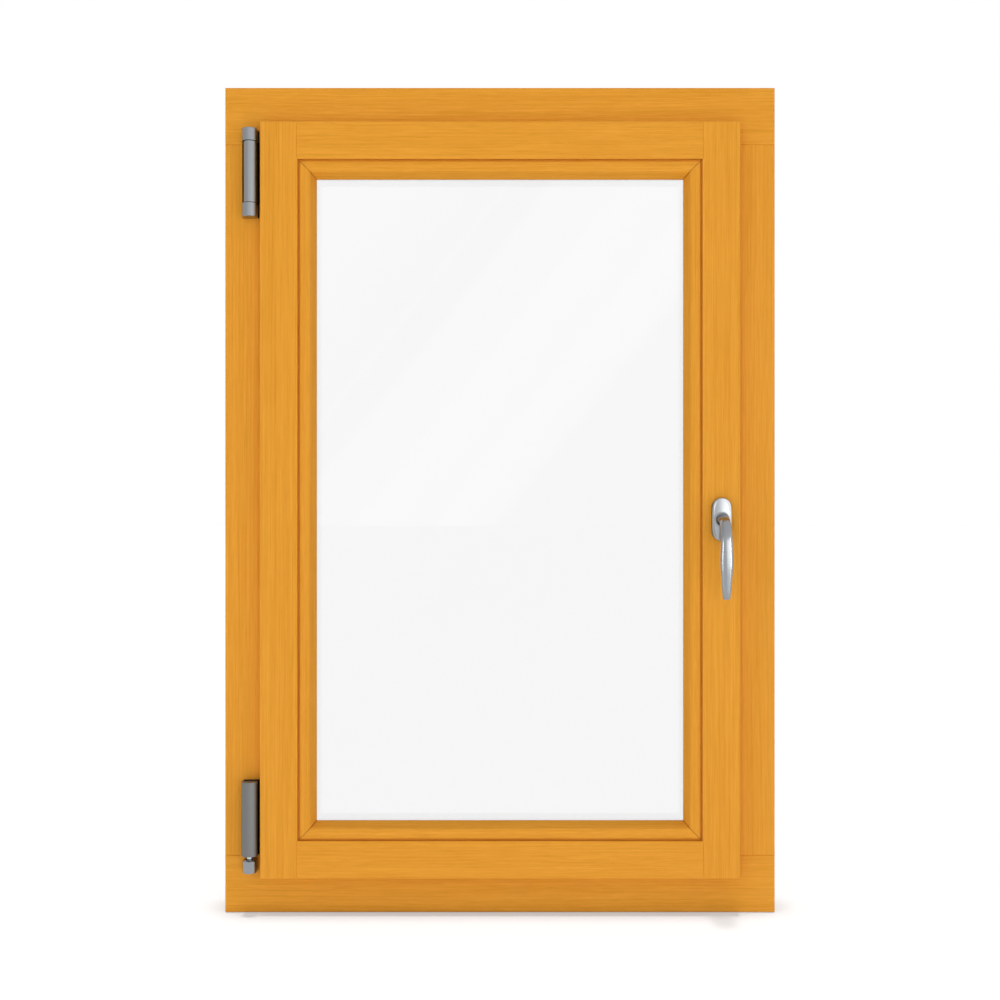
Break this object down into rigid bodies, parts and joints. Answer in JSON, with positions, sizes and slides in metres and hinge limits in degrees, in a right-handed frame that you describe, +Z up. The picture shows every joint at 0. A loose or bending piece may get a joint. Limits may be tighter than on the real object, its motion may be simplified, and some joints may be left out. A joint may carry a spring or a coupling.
{
  "type": "casement window",
  "caption": "Inward-opening timber casement window of the tilt-and-turn kind: rebated frame, beaded glazed sash, exposed hinges and a lever handle that drives hidden locking rods.",
  "frame": {"origin": "middle of the frame's underside at mid depth", "axes": "+X to the right seen from the room, +Y outdoors, +Z up; the room face and the handle look towards -Y"},
  "size_m": [0.8, 0.1492, 1.2],
  "materials": {
    "timber": "clear-coated softwood, fine straight grain, satin",
    "bead_timber": "clear-coated softwood, fine straight grain, satin",
    "glass": "clear float glass",
    "spacer": "mill finish",
    "edge_seal": "matt black",
    "glazing_seal": "satin",
    "gasket": "matt",
    "block_plastic": "moulded",
    "rail_aluminium": "satin anodised",
    "rail_cap_plastic": "moulded",
    "zinc_steel": "bright zinc plate",
    "dark_steel": "dark coated",
    "satin_metal": "satin nickel",
    "bright_steel": "turned and polished",
    "cover_metal": "satin grey",
    "bush_bronze": "sintered bronze, oiled",
    "handle_metal": "polished"
  },
  "bodies": {
    "frame": {"frame_head": "timber", "frame_sill": "timber", "frame_jamb_hinge": "timber", "frame_jamb_lock": "timber", "rain_rail": "rail_aluminium", "rain_rail_caps": "rail_cap_plastic", "striker_lock": "zinc_steel", "striker_top": "zinc_steel", "striker_tilt": "zinc_steel", "striker_screws": "zinc_steel", "stay_bearing": "dark_steel", "stay_bearing_pin": "zinc_steel", "stay_cap_upper": "satin_metal", "stay_cap_lower": "satin_metal", "stay_bearing_screws": "zinc_steel", "corner_bearing": "satin_metal"},
    "bearing_pin": {"corner_ball_pin": "bright_steel"},
    "sash": {"sash_stile_hinge": "timber", "sash_stile_lock": "timber", "sash_rail_top": "timber", "sash_rail_bottom": "timber", "bead_hinge": "bead_timber", "bead_lock": "bead_timber", "bead_top": "bead_timber", "bead_bottom": "bead_timber", "glass_room": "glass", "glass_outer": "glass", "glass_spacer": "spacer", "glass_edge_seal": "edge_seal", "glazing_seal_room": "glazing_seal", "glazing_seal_outer": "glazing_seal", "sash_gasket": "gasket", "setting_blocks": "block_plastic", "corner_hinge_screws": "zinc_steel", "faceplate_lock": "zinc_steel", "faceplate_top": "zinc_steel", "faceplate_bottom": "zinc_steel", "faceplate_screws": "zinc_steel", "corner_drive_top": "zinc_steel", "corner_drive_bottom": "zinc_steel", "gearbox_case": "zinc_steel", "handle_screws": "zinc_steel", "handle_base": "zinc_steel", "corner_hinge": "dark_steel", "corner_hinge_cover": "cover_metal", "handle_rosette": "handle_metal"},
    "handle": {"handle_lever": "handle_metal", "handle_spindle": "zinc_steel", "drive_pinion": "zinc_steel"},
    "lock_rod_body": {"lock_rod": "zinc_steel", "lock_rod_cam": "zinc_steel"},
    "top_rod_body": {"top_rod": "zinc_steel", "top_rod_cam": "zinc_steel"},
    "bottom_rod_body": {"bottom_rod": "zinc_steel", "bottom_rod_cam": "zinc_steel"},
    "stay_bush_body": {"stay_bush": "bush_bronze"},
    "stay_arm_body": {"stay_arm": "dark_steel", "stay_stud": "zinc_steel", "stay_barrel": "satin_metal"}
  },
  "joints": [
    {"name": "sash_tilt", "type": "hinge", "parent": "frame", "child": "bearing_pin", "pos_m": [-0.362, -0.047, 0.071], "axis": [1, 0, 0], "range_deg": [0, 6.5]},
    {"name": "sash_turn", "type": "hinge", "parent": "bearing_pin", "child": "sash", "pos_m": [-0.362, -0.047, 0.071], "axis": [0, 0, -1], "range_deg": [0, 95]},
    {"name": "stay_turn", "type": "hinge", "parent": "frame", "child": "stay_bush_body", "pos_m": [-0.362, -0.047, 1.0735], "axis": [0, 0, -1], "range_deg": [0, 95]},
    {"name": "stay_swing", "type": "hinge", "parent": "stay_bush_body", "child": "stay_arm_body", "pos_m": [-0.362, -0.047, 1.0735], "axis": [0, 0, -1], "range_deg": [0, 21.2]},
    {"name": "handle_turn", "type": "hinge", "parent": "sash", "child": "handle", "pos_m": [0.319, -0.0652, 0.572], "axis": [0, 1, 0], "range_deg": [0, 180]},
    {"name": "lock_rod_slide", "type": "slide", "parent": "sash", "child": "lock_rod_body", "axis": [0, 0, -1], "range_m": [0, 0.0236]},
    {"name": "top_rod_slide", "type": "slide", "parent": "sash", "child": "top_rod_body", "axis": [1, 0, 0], "range_m": [0, 0.0236]},
    {"name": "bottom_rod_slide", "type": "slide", "parent": "sash", "child": "bottom_rod_body", "axis": [-1, 0, 0], "range_m": [0, 0.0236]}
  ],
  "couplings": [
    {"joint": "stay_turn", "follows": "sash_turn", "ratio": 1},
    {"joint": "stay_swing", "follows": "sash_tilt", "ratio": 3.2382},
    {"joint": "lock_rod_slide", "follows": "handle_turn", "m_per_rad": 0.0075},
    {"joint": "top_rod_slide", "follows": "handle_turn", "m_per_rad": 0.0075},
    {"joint": "bottom_rod_slide", "follows": "handle_turn", "m_per_rad": 0.0075}
  ]
}
